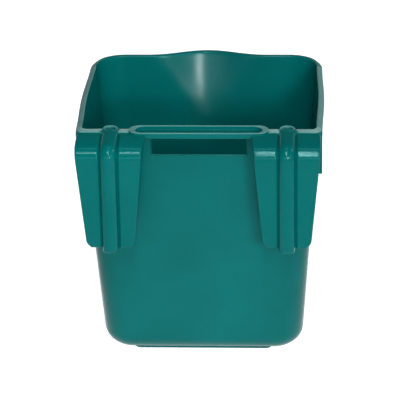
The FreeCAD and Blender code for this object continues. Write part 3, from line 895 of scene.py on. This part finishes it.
# these materials carry painted highlights on their up-facing rims and lips
side_plastic = plastic("moulded_teal_painted_highlight_sides", 5.0, TUB_GLOSS, PAINTED_HIGHLIGHT_SIDE)
back_plastic = plastic("moulded_teal_painted_highlight_back", 8.0, TUB_GLOSS, PAINTED_HIGHLIGHT_BACK, LEVEL)
lip_plastic = plastic("moulded_teal_painted_highlight_grip", 8.0, TUB_GLOSS, PAINTED_HIGHLIGHT_LIP, STEEP, LIP_LOW)
eye_plastic = plastic("moulded_teal_painted_highlight_eyes", 8.0, TUB_GLOSS, PAINTED_HIGHLIGHT_LIP, STEEP, LIP_LOW,
                      REAR - 1.5)
special = {"grip_channel": lip_plastic, "front_wall": spout_plastic,
           "pouring_spout": spout_plastic,
           "left_rib_boss": eye_plastic, "right_rib_boss": eye_plastic,
           "left_rim": side_plastic, "right_rim": side_plastic,
           "left_rear_rim": back_plastic, "right_rear_rim": back_plastic}

for name, item in pieces.items():
    usual = hook_plastic if ("hook" in name or "rib" in name) else tub_plastic
    item.data.materials.append(special.get(name, usual))
    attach(item, "root")
    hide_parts(name)


# ---------------------------------------------------------------- floor, light and camera

GLOW, GLOW_FAR = 0.88, 0.3
GLOW_MIDDLE = (0.0, 0.55, 0.0)
GLOW_EDGE = (0.84, 1.3)


def studio_white():
    """A pale floor that glows a little round the bucket, as a photographer's lit sweep does."""
    material = bpy.data.materials.new("studio_white")
    material.use_nodes = True
    tree = material.node_tree
    shader = tree.nodes["Principled BSDF"]
    shader.inputs["Base Color"].default_value = (0.5, 0.5, 0.5, 1.0)
    shader.inputs["Roughness"].default_value = 0.9
    shader.inputs["Emission Color"].default_value = (1.0, 1.0, 1.0, 1.0)
    where = tree.nodes.new("ShaderNodeTexCoord")
    away = tree.nodes.new("ShaderNodeVectorMath")
    away.operation = "DISTANCE"
    away.inputs[1].default_value = GLOW_MIDDLE
    tree.links.new(where.outputs["Object"], away.inputs[0])
    fade = remap(tree, away.outputs["Value"], *GLOW_EDGE, GLOW, GLOW * GLOW_FAR, "SMOOTHSTEP")
    tree.links.new(fade, shader.inputs["Emission Strength"])
    return material


def make_floor():
    mesh = bpy.data.meshes.new("studio_floor")
    count, radius, level = 96, 14.0, -0.0002
    turns = [2 * math.pi * k / count for k in range(count)]
    ring = [(radius * math.cos(a), radius * math.sin(a), level) for a in turns]
    mesh.from_pydata(ring, [], [list(range(count))])
    mesh.materials.append(studio_white())
    floor = bpy.data.objects.new("studio_floor", mesh)
    bpy.context.scene.collection.objects.link(floor)


make_floor()


def direction(azimuth, elevation):
    """Towards a place round the bucket; azimuth 0 is the hook side and 90 the right."""
    a, e = math.radians(azimuth), math.radians(elevation)
    return Vector((math.sin(a) * math.cos(e), -math.cos(a) * math.cos(e), math.sin(e)))


LIGHT_AIM = Vector((0.0, 0.0, 0.2))


def soft_light(name, azimuth, elevation, distance, width, height, power):
    """A soft box aimed at the middle of the bucket."""
    away = direction(azimuth, elevation)
    data = bpy.data.lights.new(name, "AREA")
    data.shape = "RECTANGLE"
    data.size = width
    data.size_y = height
    data.energy = power
    lamp = bpy.data.objects.new(name, data)
    lamp.location = LIGHT_AIM + away * distance
    lamp.rotation_mode = "QUATERNION"
    lamp.rotation_quaternion = (-away).to_track_quat("-Z", "Y")
    bpy.context.scene.collection.objects.link(lamp)


# name, azimuth and elevation in degrees, distance, width and height in metres, power in watts
for light in (
        ("main_box", 16, 18, 2.9, 0.5, 0.4, 56.0),
        ("right_fill", 40, 24, 2.8, 1.2, 1.0, 9.0),
        ("bend_box", 3, 50, 2.8, 0.14, 1.9, 48.0),
        ("bend_left", -11, 54, 2.8, 0.24, 0.6, 13.0),
        ("front_wash", -14, 15, 3.4, 2.6, 0.5, 14.0),
        ("top_box", 0, 90, 2.4, 0.8, 0.5, 3.5),
        ("right_box", 95, 40, 2.2, 0.4, 0.5, 10.0)):
    soft_light(*light)


WHITE, DIM = (1.0, 1.0, 1.0, 1.0), (0.10, 0.10, 0.10, 1.0)


def make_world():
    """A room that is white up to a low horizon, dim above it and brighter beyond the spout."""
    world = bpy.data.worlds.new("studio_room")
    world.use_nodes = True
    tree = world.node_tree
    nodes, link = tree.nodes, tree.links.new
    where = nodes.new("ShaderNodeTexCoord")
    split = nodes.new("ShaderNodeSeparateXYZ")
    link(where.outputs["Generated"], split.inputs["Vector"])
    fade = nodes.new("ShaderNodeValToRGB")
    bands = fade.color_ramp.elements
    bands[0].position, bands[0].color = 0.0, WHITE
    bands[1].position, bands[1].color = 1.0, DIM
    for position, grey in ((0.30, WHITE), (0.37, DIM)):
        bands.new(position).color = grey
    link(split.outputs["Z"], fade.inputs["Fac"])
    sky = nodes["Background"]
    link(fade.outputs["Color"], sky.inputs["Color"])
    link(remap(tree, split.outputs["Y"], 0.2, 0.7, 0.3, 0.7), sky.inputs["Strength"])
    bpy.context.scene.world = world


make_world()


CAMERA_AZIMUTH, CAMERA_ELEVATION, CAMERA_ROLL = 3.08, 24.5, -1.07
CAMERA_DISTANCE, CAMERA_LENS = 3.1, 210.7
CAMERA_AIM = Vector((-0.0052, -0.013, (TOP - 143.4) * MM))


def make_camera():
    """A long lens on the hook side, above and a little right, held about a degree off level."""
    away = direction(CAMERA_AZIMUTH, CAMERA_ELEVATION)
    side = direction(CAMERA_AZIMUTH + 90.0, 0.0)
    up = away.cross(side)
    roll = math.radians(CAMERA_ROLL)
    right = math.cos(roll) * side + math.sin(roll) * up
    top = -math.sin(roll) * side + math.cos(roll) * up
    data = bpy.data.cameras.new("studio_camera")
    data.lens = CAMERA_LENS
    data.sensor_width = 36.0
    data.clip_end = 60.0
    camera = bpy.data.objects.new("studio_camera", data)
    turn = Matrix((right, top, away)).transposed()
    camera.matrix_world = Matrix.Translation(CAMERA_AIM + away * CAMERA_DISTANCE) @ turn.to_4x4()
    bpy.context.scene.collection.objects.link(camera)
    bpy.context.scene.camera = camera


make_camera()
bpy.context.scene.view_settings.view_transform = "Standard"
